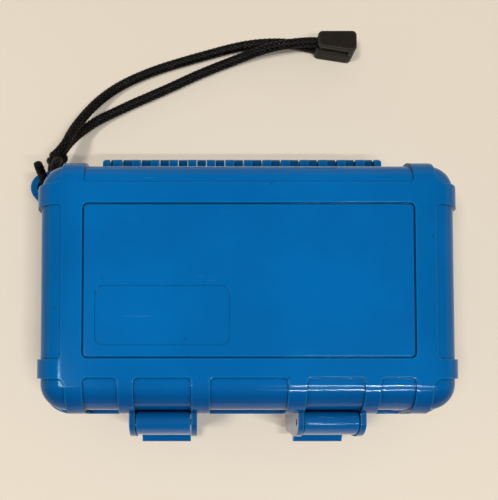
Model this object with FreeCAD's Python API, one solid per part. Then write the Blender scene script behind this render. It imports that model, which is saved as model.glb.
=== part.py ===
import FreeCAD, Part

import math
import os

# Small moulded carrying case: a base and a lid on a long knuckle hinge, two front latches
# that pivot on the lid, a corner lug on the base and a cord lanyard with a two-half cord end.
# Millimetres. +X right, +Y towards the hinge, +Z up, origin under the middle of the base.

# Shell outline, measured over the raised ribs
CASE_LENGTH = 151.4
CASE_DEPTH = 91.0
CORNER_RADIUS = 11.0
BASE_HEIGHT = 26.4
LID_HEIGHT = 21.4
PARTING_GAP = 0.2
LID_EDGE_RADIUS = 10.5
BASE_EDGE_RADIUS = 8.0
WALL = 3.0
CAVITY_EDGE_RADIUS = 4.0

# Pockets between the ribs
POCKET_DEPTH = 1.5
POCKET_STEP = 0.45
SIDE_POCKET_STEP = 0.25
POCKET_CORNER = 1.6
CORNER_POCKET_ROUND = 3.0
FRONT_POCKET_REACH = 13.2
BACK_POCKET_REACH = 9.6
SIDE_POCKET_REACH = 10.3
FRONT_CORNER_POCKET = 11.7
FRONT_CORNER_RIB = 6.3
LATCH_RIB_INNER = 6.6
LATCH_RIB_OUTER = 5.6
LATCH_OUTWARD_SHIFT = 0.75
BACK_CORNER_POCKET = 10.0
BACK_BAND = 7.9
SIDE_FRONT_POCKET = 12.8
SIDE_FRONT_BAND = 6.8
SIDE_BACK_POCKET = 9.6
SIDE_BACK_BAND = 7.7

# Rims along the parting line, and the seal
RIM_HEIGHT = 3.0
RIM_PROUD = 0.6
SEAL_WIDTH = 1.7
SEAL_HEIGHT = 1.75
SEAL_INSET = 0.75
SEAL_SIDE_GAP = 0.05
SEAL_REST_GAP = 0.05

# Panel on the lid, the groove round it and the plain plate outline in it
PANEL_LENGTH = 116.0
PANEL_DEPTH = 54.3
PANEL_SHIFT = 1.55
PANEL_CORNER = 2.0
PANEL_SINK = 0.3
PANEL_GROOVE_WIDTH = 0.6
PANEL_GROOVE_DEPTH = 0.85
PLATE_LENGTH = 47.0
PLATE_DEPTH = 21.0
PLATE_FROM_LEFT = 4.4
PLATE_FROM_FRONT = 4.5
PLATE_CORNER = 3.0
PLATE_SINK = 0.15

# Hinge
KNUCKLE_RADIUS = 2.6
BASE_KNUCKLE_RADIUS = 2.2
BASE_KNUCKLE_BACK = 3.2
BASE_KNUCKLE_CHAMFER = 0.8
KNUCKLE_PAIRS = 14
LID_KNUCKLE = 3.3
BASE_KNUCKLE = 3.35
KNUCKLE_GAP = 0.2
HINGE_SHIFT = -1.0
HINGE_END = 2.5
HINGE_END_SLOT = 1.4
HINGE_END_ROUND = 1.5
HINGE_WALL_GAP = 0.5
HINGE_NOTCH_GAP = 0.3
HINGE_ARM_GAP = 0.25
LID_ARM_RISE = 4.4
LID_ARM_BACK = 2.5
LID_ARM_CHAMFER = 0.8
HINGE_PIN_RADIUS = 1.0
HINGE_PIN_RECESS = 0.8
RUNNING_GAP = 0.05
SEATED_GAP = 0.02

# Latches
LATCH_WIDTH = 19.3
LATCH_SIDE_GAP = 0.35
LATCH_BARREL_RADIUS = 4.0
LATCH_WALL_GAP = 0.6
LATCH_PIN_DROP = 11.0
LATCH_PIN_RADIUS = 1.25
LATCH_PIN_RECESS = 0.4
LATCH_FRONT = 5.1
LATCH_BROW = 6.5
LATCH_PLATE = 3.4
LATCH_REACH = 25.6
TAB_THICKNESS = 2.2
TAB_LENGTH = 4.6
TAB_RISE = 2.4
TAB_TIP_ROUND = 0.7
HOOK_HEIGHT = 2.5
HOOK_SLOPE = 1.2
HOOK_GAP = 0.3
HOOK_WALL_GAP = 0.8
EAR_THICKNESS = 2.1
EAR_MARGIN = 0.3
EAR_NOSE = 0.6
EAR_CREASE = 0.6
EAR_CREASE_REACH = 2.6
EAR_CREASE_DROP = 1.0
BASE_EAR_LENGTH = 17.4
BASE_EAR_ROUND = 3.0

# Lug on the back left corner of the base, with a slot for two turns of cord
LUG_OUT = 2.0
LUG_IN = 3.4
LUG_RADIUS = 5.8
LUG_SLOT_RADIUS = 3.3
LUG_SLOT_LENGTH = 3.6
LUG_THICKNESS = 4.0
LUG_DROP = 5.6
LUG_BACK_SPREAD = 6.7
LUG_BACK_RISE = 2.1
LUG_SIDE_SPREAD = 4.8
LUG_SIDE_FALL = 5.6

# Foam inside
FOAM_GAP = 0.4
BASE_FOAM_TOP_GAP = 2.4
FOAM_FLOOR = 7.0
FOAM_BORDER_X = 14.8
FOAM_BORDER_Y = 15.6
FOAM_WELL_CORNER = 8.0
LID_FOAM_THICKNESS = 12.0

# Lanyard: one limp cord, and the routes of its free stretches as points in order
CORD_RADIUS = 2.0
TAIL_RADIUS = 1.8
ARC_SHARE = 0.45
UPPER_ROUTE = [
    (-74.6, 56.6, 17.0),
    (-72.8, 60.8, 16.2),
    (-70.2, 66.3, 14.0),
    (-66.6, 73.0, 10.4),
    (-62.3, 80.0, 6.8),
    (-57.1, 86.3, 4.0),
    (-50.5, 91.5, 2.6),
    (-42.4, 95.7, 2.1),
    (-33.0, 99.3, 2.1),
    (-22.5, 102.5, 2.1),
    (-13.3, 105.1, 2.1),
    (-4.7, 107.5, 2.1),
    (3.0, 109.2, 2.1),
    (10.7, 110.1, 2.1),
    (18.4, 110.2, 2.1),
    (25.3, 109.4, 2.15),
    (30.4, 108.2, 2.3),
    (35.0, 107.3, 2.45),
]
LOWER_ROUTE = [
    (-74.0, 58.0, 12.0),
    (-72.3, 61.8, 11.0),
    (-69.2, 66.6, 8.6),
    (-65.2, 71.3, 6.0),
    (-60.0, 75.9, 3.9),
    (-53.8, 79.5, 2.6),
    (-46.2, 83.4, 2.1),
    (-37.3, 87.3, 2.1),
    (-28.7, 91.1, 2.1),
    (-19.3, 95.6, 2.1),
    (-10.8, 99.2, 2.1),
    (-3.0, 102.2, 2.15),
    (2.9, 104.1, 3.0),
    (7.8, 105.2, 4.7),
    (12.8, 106.2, 5.9),
    (18.6, 107.3, 6.3),
    (25.3, 108.1, 6.4),
    (30.4, 108.2, 6.7),
    (35.0, 107.8, 7.05),
]
LOOP_ROUTE = [
    (-73.4, 53.4, 11.6),
    (-73.2, 49.6, 10.4),
    (-73.2, 45.9, 11.2),
    (-73.4, 43.3, 13.9),
    (-73.5, 42.9, 17.6),
    (-73.4, 43.2, 21.3),
    (-73.3, 45.8, 23.9),
    (-73.1, 49.5, 24.1),
    (-73.1, 52.2, 21.6),
    (-73.4, 53.4, 18.2),
]
TAIL_ROUTE = [
    (-76.4, 54.0, 14.4),
    (-77.5, 50.6, 12.2),
    (-77.9, 46.4, 11.2),
    (-77.9, 42.6, 13.8),
    (-77.7, 41.9, 18.8),
    (-77.4, 43.4, 23.3),
    (-77.6, 45.7, 27.2),
    (-78.0, 47.9, 31.4),
]
KNOT_CENTRE = (-74.8, 54.8, 14.6)
KNOT_LENGTH = 6.8
KNOT_WIDTH = 7.8
KNOT_HEIGHT = 10.6
KNOT_ROUND = 3.4
KNOT_TURN = -26.0

# Cord end: two halves closed over the ends of both strands
CORD_END_PLACE = (32.2, 110.8, 0.1)
CORD_END_LENGTH = 16.0
CORD_END_NEAR_WIDTH = 6.3
CORD_END_FAR_WIDTH = 8.8
CORD_END_LOWER_HEIGHT = 6.2
CORD_END_UPPER_HEIGHT = 4.65
CORD_END_GROOVE_HEIGHT = 3.4
CORD_END_GROOVE_DEPTH = 0.8
CORD_END_GROOVE_STOP = 2.8
CORD_END_CORNER = 1.9
CORD_END_SPLIT = 0.05
CORD_END_EDGE_ROUND = 0.6
CORD_SEAT_GAP = 0.05

V = FreeCAD.Vector
X_AXIS = V(1, 0, 0)
Z_AXIS = V(0, 0, 1)
EDGE_TOLERANCE = 1e-4
ROUND_SHARE = 0.5523

# Values worked out from the sizes above
HALF_X = CASE_LENGTH / 2
HALF_Y = CASE_DEPTH / 2
LID_BOTTOM = BASE_HEIGHT + PARTING_GAP
LID_TOP = LID_BOTTOM + LID_HEIGHT
WALL_X = HALF_X - POCKET_DEPTH
WALL_Y = HALF_Y - POCKET_DEPTH
WALL_CORNER = CORNER_RADIUS - POCKET_DEPTH
CAVITY_X = WALL_X - WALL
CAVITY_Y = WALL_Y - WALL
CAVITY_CORNER = WALL_CORNER - WALL
RIM_TOP = LID_BOTTOM + RIM_HEIGHT
RIM_UNDERSIDE = BASE_HEIGHT - RIM_HEIGHT

HINGE_NOTCH_Y = WALL_Y + HINGE_NOTCH_GAP
HINGE_Y = HINGE_NOTCH_Y + HINGE_WALL_GAP + KNUCKLE_RADIUS
HINGE_Z = BASE_HEIGHT + PARTING_GAP / 2
HINGE_PITCH = LID_KNUCKLE + BASE_KNUCKLE + 2 * KNUCKLE_GAP
HINGE_LENGTH = KNUCKLE_PAIRS * HINGE_PITCH + 2 * HINGE_END + HINGE_END_SLOT
HINGE_LEFT = HINGE_SHIFT - HINGE_LENGTH / 2
HINGE_RIGHT = HINGE_SHIFT + HINGE_LENGTH / 2
HINGE_ROOT_Y = WALL_Y - WALL / 2

EAR_INNER = LATCH_WIDTH / 2 + LATCH_SIDE_GAP
EAR_OUTER = EAR_INNER + EAR_THICKNESS
FRONT_CORNER_SPAN = FRONT_CORNER_POCKET + FRONT_CORNER_RIB
LATCH_SPAN = LATCH_RIB_INNER + 2 * EAR_INNER + LATCH_RIB_OUTER
FRONT_POCKET_ROOM = HALF_X - FRONT_CORNER_SPAN - LATCH_SPAN
CENTRE_POCKET_HALF = FRONT_POCKET_ROOM / 2 + LATCH_OUTWARD_SHIFT
LATCH_X = CENTRE_POCKET_HALF + LATCH_RIB_INNER + EAR_INNER
LATCH_PIN_Y = -(WALL_Y + LATCH_WALL_GAP + LATCH_BARREL_RADIUS)
LATCH_PIN_Z = LID_TOP - LATCH_PIN_DROP
LATCH_FRONT_Y = LATCH_PIN_Y - LATCH_FRONT
LATCH_BROW_Z = LATCH_PIN_Z - LATCH_BROW
LATCH_TOP = LATCH_PIN_Z + LATCH_BARREL_RADIUS
EAR_ROOT_Y = -(WALL_Y - WALL / 2)
EAR_FRONT_Y = LATCH_FRONT_Y - EAR_NOSE

LUG_PLACE = V(-HALF_X - LUG_OUT, HALF_Y - LUG_IN, 0)
LUG_TO_BACK = V(LUG_BACK_SPREAD, LUG_BACK_RISE, 0)
LUG_TO_SIDE = V(LUG_SIDE_SPREAD, -LUG_SIDE_FALL, 0)
LUG_TOP = BASE_HEIGHT - LUG_DROP


def rounded_prism(x0, x1, y0, y1, radius, z0, z1):
    """Upright block whose plan is a rectangle with rounded corners."""
    block = Part.makeBox(x1 - x0, y1 - y0, z1 - z0, V(x0, y0, z0))
    uprights = [edge for edge in block.Edges if edge.BoundBox.ZLength > (z1 - z0) / 2]
    return block.makeFillet(radius, uprights)


def centred_prism(half_x, half_y, radius, z0, z1):
    return rounded_prism(-half_x, half_x, -half_y, half_y, radius, z0, z1)


def round_end(solid, z, radius):
    """Rounds the whole edge loop of a block's flat end at height z."""
    boxes = [(edge, edge.BoundBox) for edge in solid.Edges]
    loop = [edge for edge, box in boxes if max(abs(box.ZMin - z), abs(box.ZMax - z)) < EDGE_TOLERANCE]
    return solid.makeFillet(radius, loop)


def cylinder_x(radius, x0, x1, y, z):
    return Part.makeCylinder(radius, x1 - x0, V(x0, y, z), X_AXIS)


def profile_x(edges, x0, x1):
    """Solid of a closed outline in the YZ plane, drawn out along X."""
    face = Part.Face(Part.Wire(edges))
    face.translate(V(x0, 0, 0))
    return face.extrude(V(x1 - x0, 0, 0))


def polyline(points):
    """Straight edges through points given as (y, z)."""
    corners = [V(0, y, z) for y, z in points]
    return [Part.LineSegment(a, b).toShape() for a, b in zip(corners, corners[1:])]


def smooth_edge(points):
    """One curved edge from its two ends and its two handles, given as (y, z)."""
    curve = Part.BezierCurve()
    curve.setPoles([V(0, y, z) for y, z in points])
    return curve.toShape()


def mirrored_pairs(low, high):
    """A span on the right and its mirror image on the left."""
    return [(low, high), (-high, -low)]


def front_pocket_plans():
    """Plan rectangles of the stepped pockets along the front: x0, x1, y0, y1 and the corner rounding."""
    out_x, out_y = HALF_X + CORNER_RADIUS, HALF_Y + CORNER_RADIUS
    front = -(HALF_Y - FRONT_POCKET_REACH)
    latch_out = LATCH_X + EAR_INNER
    spans = [(-CENTRE_POCKET_HALF, CENTRE_POCKET_HALF)]
    spans += mirrored_pairs(LATCH_X - EAR_INNER, latch_out)
    spans += mirrored_pairs(latch_out + LATCH_RIB_OUTER, HALF_X - FRONT_CORNER_SPAN)
    plans = [(x0, x1, -out_y, front, POCKET_CORNER) for x0, x1 in spans]
    corner_front = -(HALF_Y - SIDE_FRONT_POCKET)
    for x0, x1 in mirrored_pairs(HALF_X - FRONT_CORNER_POCKET, out_x):
        plans.append((x0, x1, -out_y, corner_front, CORNER_POCKET_ROUND))
    return plans


def side_pocket_plans():
    """Plan rectangles of the pockets at the sides and the back, which end in a smaller step."""
    out_x, out_y = HALF_X + CORNER_RADIUS, HALF_Y + CORNER_RADIUS
    band = HALF_X - BACK_CORNER_POCKET - BACK_BAND
    plans = [(-band, band, HALF_Y - BACK_POCKET_REACH, out_y, POCKET_CORNER)]
    side_y0 = -(HALF_Y - SIDE_FRONT_POCKET - SIDE_FRONT_BAND)
    side_y1 = HALF_Y - SIDE_BACK_POCKET - SIDE_BACK_BAND
    corner_back = HALF_Y - SIDE_BACK_POCKET
    for x0, x1 in mirrored_pairs(HALF_X - SIDE_POCKET_REACH, out_x):
        plans.append((x0, x1, side_y0, side_y1, POCKET_CORNER))
    for x0, x1 in mirrored_pairs(HALF_X - BACK_CORNER_POCKET, out_x):
        plans.append((x0, x1, corner_back, out_y, CORNER_POCKET_ROUND))
    return plans


def pocket_floor(z0, z1, end, edge_radius):
    """The shell's rounded block, set back by the pocket depth."""
    block = centred_prism(WALL_X, WALL_Y, WALL_CORNER, z0, z1)
    return round_end(block, end, edge_radius - POCKET_DEPTH)


def ribbed_block(block, front_floor, side_floor, z0, z1):
    """A rounded block with the pockets cut down to their floor forms between z0 and z1."""
    pockets = [rounded_prism(*plan, z0, z1).cut(front_floor) for plan in front_pocket_plans()]
    pockets += [rounded_prism(*plan, z0, z1).cut(side_floor) for plan in side_pocket_plans()]
    return block.cut(pockets)


def add_rim(shell, z0):
    """Adds the rim along the parting line and sets it back along the hinge."""
    corner = CORNER_RADIUS + RIM_PROUD
    band = centred_prism(HALF_X + RIM_PROUD, HALF_Y + RIM_PROUD, corner, z0, z0 + RIM_HEIGHT)
    reach = HALF_X - BACK_CORNER_POCKET - BACK_BAND
    notch = Part.makeBox(2 * reach, CORNER_RADIUS, RIM_HEIGHT, V(-reach, HINGE_NOTCH_Y, z0))
    return shell.fuse(band).cut(notch)


def hinge_slots():
    """Places along X of the lid's knuckles and of the base's, ends included."""
    left_end = (HINGE_LEFT, HINGE_LEFT + HINGE_END)
    right_end = (HINGE_RIGHT - HINGE_END, HINGE_RIGHT)
    start = left_end[1] + HINGE_END_SLOT
    lid, base = [left_end], [(left_end[1] + KNUCKLE_GAP, start - KNUCKLE_GAP)]
    for pair in range(KNUCKLE_PAIRS):
        x = start + pair * HINGE_PITCH
        lid.append((x, x + LID_KNUCKLE))
        base_x = x + LID_KNUCKLE + KNUCKLE_GAP
        base.append((base_x, base_x + BASE_KNUCKLE))
    lid.append(right_end)
    return lid, base


def hinge_bore(gap):
    return cylinder_x(HINGE_PIN_RADIUS + gap, HINGE_LEFT, HINGE_RIGHT, HINGE_Y, HINGE_Z)


def lid_knuckles(slots):
    """The lid's hinge knuckles, each below a raised block on the wall, with round outer ends."""
    low, top = HINGE_Z + HINGE_ARM_GAP, HINGE_Z + LID_ARM_RISE
    back = HINGE_Y + LID_ARM_BACK
    outline = [
        (HINGE_ROOT_Y, low), (HINGE_ROOT_Y, top), (back - LID_ARM_CHAMFER, top),
        (back, top - LID_ARM_CHAMFER), (back, low), (HINGE_ROOT_Y, low),
    ]
    ends = rounded_prism(
        HINGE_LEFT, HINGE_RIGHT, HINGE_ROOT_Y - 2 * HINGE_END_ROUND, HINGE_Y + KNUCKLE_RADIUS,
        HINGE_END_ROUND, HINGE_Z - KNUCKLE_RADIUS, top)
    bore = hinge_bore(RUNNING_GAP)
    pieces = []
    for x0, x1 in slots:
        barrel = cylinder_x(KNUCKLE_RADIUS, x0, x1, HINGE_Y, HINGE_Z)
        pieces.append(barrel.fuse(profile_x(polyline(outline), x0, x1)).common(ends).cut(bore))
    return pieces


def base_knuckles(slots):
    """The base's slimmer hinge knuckles, on arms below the axis and with square backs."""
    low, top = HINGE_Z - BASE_KNUCKLE_RADIUS, HINGE_Z + BASE_KNUCKLE_RADIUS
    height = BASE_KNUCKLE_RADIUS - HINGE_ARM_GAP
    back = HINGE_Y + BASE_KNUCKLE_BACK
    outline = [
        (HINGE_Y, low), (HINGE_Y, top), (back - BASE_KNUCKLE_CHAMFER, top),
        (back, top - BASE_KNUCKLE_CHAMFER), (back, low), (HINGE_Y, low),
    ]
    bore = hinge_bore(SEATED_GAP)
    pieces = []
    for x0, x1 in slots:
        barrel = cylinder_x(BASE_KNUCKLE_RADIUS, x0, x1, HINGE_Y, HINGE_Z)
        arm = Part.makeBox(x1 - x0, HINGE_Y - HINGE_ROOT_Y, height, V(x0, HINGE_ROOT_Y, low))
        square_back = profile_x(polyline(outline), x0, x1)
        pieces.append(barrel.fuse([arm, square_back]).cut(bore))
    return pieces


def ear_spans():
    """Places along X of the four ears, two beside each latch."""
    spans = []
    for centre in (-LATCH_X, LATCH_X):
        spans.append((centre - EAR_OUTER, centre - EAR_INNER))
        spans.append((centre + EAR_INNER, centre + EAR_OUTER))
    return spans


def lid_ears():
    """Ears that carry the latch pins: flat on top, with a crease and a long round nose."""
    top = LATCH_TOP + EAR_MARGIN
    crease = LATCH_PIN_Y - EAR_CREASE
    sides = polyline([
        (crease, top), (EAR_ROOT_Y, top), (EAR_ROOT_Y, LID_BOTTOM), (EAR_FRONT_Y, LID_BOTTOM),
        (EAR_FRONT_Y, LATCH_BROW_Z),
    ])
    nose = smooth_edge([
        (EAR_FRONT_Y, LATCH_BROW_Z), (EAR_FRONT_Y, LATCH_BROW_Z + ROUND_SHARE * (top - LATCH_BROW_Z)),
        (crease - EAR_CREASE_REACH, top - EAR_CREASE_DROP), (crease, top),
    ])
    hole = cylinder_x(LATCH_PIN_RADIUS + SEATED_GAP, -HALF_X, HALF_X, LATCH_PIN_Y, LATCH_PIN_Z)
    return [profile_x(sides + [nose], x0, x1).cut(hole) for x0, x1 in ear_spans()]


def base_ears():
    """Guards beside each latch, below the lid's ears."""
    low = BASE_HEIGHT - BASE_EAR_LENGTH
    slant = BASE_EAR_ROUND * (1 - math.sqrt(0.5))
    sides = polyline([
        (EAR_FRONT_Y + BASE_EAR_ROUND, low), (EAR_ROOT_Y, low), (EAR_ROOT_Y, BASE_HEIGHT),
        (EAR_FRONT_Y, BASE_HEIGHT), (EAR_FRONT_Y, low + BASE_EAR_ROUND),
    ])
    arc = Part.Arc(
        V(0, EAR_FRONT_Y, low + BASE_EAR_ROUND),
        V(0, EAR_FRONT_Y + slant, low + slant),
        V(0, EAR_FRONT_Y + BASE_EAR_ROUND, low),
    )
    outline = sides + [arc.toShape()]
    return [profile_x(outline, x0, x1) for x0, x1 in ear_spans()]


def seal_ring(half_width, z0, z1):
    """Ring of rectangular section that follows the rim."""
    inset = SEAL_INSET + SEAL_SIDE_GAP + SEAL_WIDTH / 2
    outer, inner = inset + half_width, inset - half_width
    ring = centred_prism(CAVITY_X + outer, CAVITY_Y + outer, CAVITY_CORNER + outer, z0, z1)
    return ring.cut(centred_prism(CAVITY_X + inner, CAVITY_Y + inner, CAVITY_CORNER + inner, z0, z1))


def panel_prism(margin, z0):
    """Upright block over the lid's panel, drawn in by a margin."""
    half_x, half_y = PANEL_LENGTH / 2 - margin, PANEL_DEPTH / 2 - margin
    return rounded_prism(
        -half_x, half_x, PANEL_SHIFT - half_y, PANEL_SHIFT + half_y, PANEL_CORNER - margin, z0, LID_TOP)


def lid_shell():
    block = round_end(
        centred_prism(HALF_X, HALF_Y, CORNER_RADIUS, LID_BOTTOM, LID_TOP), LID_TOP, LID_EDGE_RADIUS)
    floors = []
    for step in (POCKET_STEP, SIDE_POCKET_STEP):
        floors.append(pocket_floor(LID_BOTTOM, LID_TOP - step, LID_TOP - step, LID_EDGE_RADIUS))
    shell = ribbed_block(block, *floors, RIM_TOP, LID_TOP + CORNER_RADIUS)
    lid_slots, _ = hinge_slots()
    shell = add_rim(shell, LID_BOTTOM).fuse(lid_ears() + lid_knuckles(lid_slots))

    ceiling = LID_TOP - POCKET_STEP - WALL
    cavity = round_end(
        centred_prism(CAVITY_X, CAVITY_Y, CAVITY_CORNER, LID_BOTTOM, ceiling), ceiling, CAVITY_EDGE_RADIUS)
    seal_top = BASE_HEIGHT + SEAL_REST_GAP + SEAL_HEIGHT
    seal_groove = seal_ring(SEAL_WIDTH / 2 + SEAL_SIDE_GAP, LID_BOTTOM, seal_top)
    panel = panel_prism(0, LID_TOP - PANEL_SINK)
    border_low = LID_TOP - PANEL_GROOVE_DEPTH
    border = panel_prism(0, border_low).cut(panel_prism(PANEL_GROOVE_WIDTH, border_low))
    plate_x = PLATE_FROM_LEFT - PANEL_LENGTH / 2
    plate_y = PLATE_FROM_FRONT + PANEL_SHIFT - PANEL_DEPTH / 2
    plate = rounded_prism(
        plate_x, plate_x + PLATE_LENGTH, plate_y, plate_y + PLATE_DEPTH,
        PLATE_CORNER, LID_TOP - PANEL_SINK - PLATE_SINK, LID_TOP)
    return shell.cut([cavity, seal_groove, panel, border, plate])


def obround(start, along, radius, z0, z1):
    """Upright bar with round ends, from a start point along a level direction."""
    height = z1 - z0
    bar = Part.makeBox(along.Length, 2 * radius, height, V(0, -radius, 0))
    bar.rotate(V(0, 0, 0), Z_AXIS, math.degrees(math.atan2(along.y, along.x)))
    bar.translate(start)
    ends = [Part.makeCylinder(radius, height, start), Part.makeCylinder(radius, height, start + along)]
    bar = bar.fuse(ends)
    bar.translate(V(0, 0, z0))
    return bar


def lug_arm(along):
    """One of the two arms that spread from the corner lug to the shell."""
    return obround(LUG_PLACE, along, LUG_RADIUS, LUG_TOP - LUG_THICKNESS, LUG_TOP)


def base_shell():
    block = round_end(centred_prism(HALF_X, HALF_Y, CORNER_RADIUS, 0, BASE_HEIGHT), 0, BASE_EDGE_RADIUS)
    steps = (POCKET_STEP, SIDE_POCKET_STEP)
    floors = [pocket_floor(step, BASE_HEIGHT, step, BASE_EDGE_RADIUS) for step in steps]
    shell = ribbed_block(block, *floors, -CORNER_RADIUS, RIM_UNDERSIDE)
    _, base_slots = hinge_slots()
    arms = [lug_arm(LUG_TO_BACK), lug_arm(LUG_TO_SIDE)]
    shell = add_rim(shell, RIM_UNDERSIDE).fuse(arms + base_ears() + base_knuckles(base_slots))

    bottom = POCKET_STEP + WALL
    cavity = round_end(
        centred_prism(CAVITY_X, CAVITY_Y, CAVITY_CORNER, bottom, BASE_HEIGHT), bottom, CAVITY_EDGE_RADIUS)
    along = V(LUG_TO_BACK)
    along.normalize()
    along = along * LUG_SLOT_LENGTH
    slot = obround(LUG_PLACE, along, LUG_SLOT_RADIUS, LUG_TOP - LUG_THICKNESS, BASE_HEIGHT)
    return shell.cut([cavity, slot])


def latch(centre):
    """Latch at one place along X: barrel, round brow, plate, hook under the base's rim, and finger tab."""
    front, back = LATCH_FRONT_Y, LATCH_FRONT_Y + LATCH_PLATE
    low = LATCH_PIN_Z - LATCH_REACH
    tip = front - TAB_LENGTH
    hook_top = RIM_UNDERSIDE - HOOK_GAP
    hook_low = hook_top - HOOK_HEIGHT
    hook_tip = -(WALL_Y + HOOK_WALL_GAP)
    barrel_low = LATCH_PIN_Z - math.sqrt(LATCH_BARREL_RADIUS ** 2 - (back - LATCH_PIN_Y) ** 2)
    barrel = Part.Arc(
        V(0, LATCH_PIN_Y, LATCH_TOP),
        V(0, LATCH_PIN_Y + LATCH_BARREL_RADIUS, LATCH_PIN_Z),
        V(0, back, barrel_low),
    )
    sides = polyline([
        (back, barrel_low), (back, hook_top), (hook_tip, hook_top), (hook_tip, hook_low + HOOK_SLOPE),
        (back, hook_low), (back, low), (tip, low), (tip, low + TAB_THICKNESS),
        (front, low + TAB_THICKNESS + TAB_RISE), (front, LATCH_BROW_Z),
    ])
    brow = smooth_edge([
        (front, LATCH_BROW_Z), (front, LATCH_BROW_Z + ROUND_SHARE * (LATCH_TOP - LATCH_BROW_Z)),
        (LATCH_PIN_Y - ROUND_SHARE * LATCH_FRONT, LATCH_TOP), (LATCH_PIN_Y, LATCH_TOP),
    ])
    x0, x1 = centre - LATCH_WIDTH / 2, centre + LATCH_WIDTH / 2
    body = profile_x([barrel.toShape()] + sides + [brow], x0, x1)
    tip_edges = [edge for edge in body.Edges if edge.BoundBox.YMax < tip + EDGE_TOLERANCE]
    tip_edges = [edge for edge in tip_edges if edge.BoundBox.XLength > LATCH_WIDTH / 2]
    body = body.makeFillet(TAB_TIP_ROUND, tip_edges)
    return body.cut(cylinder_x(LATCH_PIN_RADIUS + RUNNING_GAP, x0, x1, LATCH_PIN_Y, LATCH_PIN_Z))


def latch_pin(centre):
    reach = EAR_OUTER - LATCH_PIN_RECESS
    return cylinder_x(LATCH_PIN_RADIUS, centre - reach, centre + reach, LATCH_PIN_Y, LATCH_PIN_Z)


def hinge_pin():
    x0, x1 = HINGE_LEFT + HINGE_PIN_RECESS, HINGE_RIGHT - HINGE_PIN_RECESS
    return cylinder_x(HINGE_PIN_RADIUS, x0, x1, HINGE_Y, HINGE_Z)


def lid_seal():
    z0 = BASE_HEIGHT + SEAL_REST_GAP
    return seal_ring(SEAL_WIDTH / 2, z0, z0 + SEAL_HEIGHT)


def base_foam():
    """Foam block in the base with one open well."""
    low = POCKET_STEP + WALL + FOAM_GAP
    top = BASE_HEIGHT - BASE_FOAM_TOP_GAP
    half_x, half_y = CAVITY_X - FOAM_GAP, CAVITY_Y - FOAM_GAP
    block = centred_prism(half_x, half_y, CAVITY_CORNER - FOAM_GAP, low, top)
    well = centred_prism(
        half_x - FOAM_BORDER_X, half_y - FOAM_BORDER_Y, FOAM_WELL_CORNER, low + FOAM_FLOOR, top)
    return round_end(block, low, CAVITY_EDGE_RADIUS).cut(well)


def lid_foam():
    """Flat foam pad under the top of the lid."""
    top = LID_TOP - POCKET_STEP - WALL - FOAM_GAP
    half_x, half_y = CAVITY_X - FOAM_GAP, CAVITY_Y - FOAM_GAP
    block = centred_prism(half_x, half_y, CAVITY_CORNER - FOAM_GAP, top - LID_FOAM_THICKNESS, top)
    return round_end(block, top, CAVITY_EDGE_RADIUS)


def cord_path(points):
    """Straight runs joined by tangent arcs, each arc as large as its two runs allow."""
    edges, radii = [], []
    start = points[0]
    for before, corner, after in zip(points, points[1:], points[2:]):
        run_in, run_out = corner - before, after - corner
        turn = run_in.getAngle(run_out)
        tangent = ARC_SHARE * min(run_in.Length, run_out.Length)
        radius = tangent / math.tan(turn / 2)
        run_in.normalize()
        run_out.normalize()
        inward = run_out - run_in
        inward.normalize()
        first, last = corner - run_in * tangent, corner + run_out * tangent
        middle = corner + inward * (radius / math.cos(turn / 2) - radius)
        edges.append(Part.LineSegment(start, first).toShape())
        edges.append(Part.Arc(first, middle, last).toShape())
        start = last
        radii.append(radius)
    edges.append(Part.LineSegment(start, points[-1]).toShape())
    return Part.Wire(edges), radii


def cord(name, route, radius=CORD_RADIUS):
    """Tube along a route, with its bend radii and its volume against section times length."""
    points = [V(*place) for place in route]
    path, radii = cord_path(points)
    section = Part.Wire(Part.Circle(points[0], points[1] - points[0], radius).toShape())
    tube = path.makePipeShell([section], True, False)
    share = tube.Volume / (math.pi * radius ** 2 * path.Length)
    print(name, "radii", [round(bend, 1) for bend in radii])
    print(name, "length", round(path.Length, 1), "volume share", round(share, 4))
    return tube


def knot():
    """Plain rounded block where the strands are tied together behind the lug."""
    block = Part.makeBox(
        KNOT_WIDTH, KNOT_LENGTH, KNOT_HEIGHT, V(-KNOT_WIDTH / 2, -KNOT_LENGTH / 2, -KNOT_HEIGHT / 2))
    along = [edge for edge in block.Edges if edge.BoundBox.YLength > KNOT_LENGTH / 2]
    block = block.makeFillet(KNOT_ROUND, along)
    block.rotate(V(0, 0, 0), Z_AXIS, KNOT_TURN)
    block.translate(V(*KNOT_CENTRE))
    return block


def strand_seat(route):
    """Room for a strand's last run in the cord end."""
    before, last = V(*route[-2]), V(*route[-1])
    run = last - before
    return Part.makeCylinder(CORD_RADIUS + CORD_SEAT_GAP, run.Length, before, run)


def cord_end_block(waist, z0, z1):
    """Upright block that widens away from the cord, drawn in at its front and near end by the waist."""
    near, far = waist, CORD_END_LENGTH
    corners = [
        V(near, 0, z0), V(far, 0, z0), V(far, waist - CORD_END_FAR_WIDTH, z0),
        V(near, waist - CORD_END_NEAR_WIDTH, z0),
    ]
    block = Part.Face(Part.makePolygon(corners + corners[:1])).extrude(V(0, 0, z1 - z0))
    uprights = [edge for edge in block.Edges if edge.BoundBox.ZLength > (z1 - z0) / 2]
    return block.makeFillet(CORD_END_CORNER, uprights)


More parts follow.
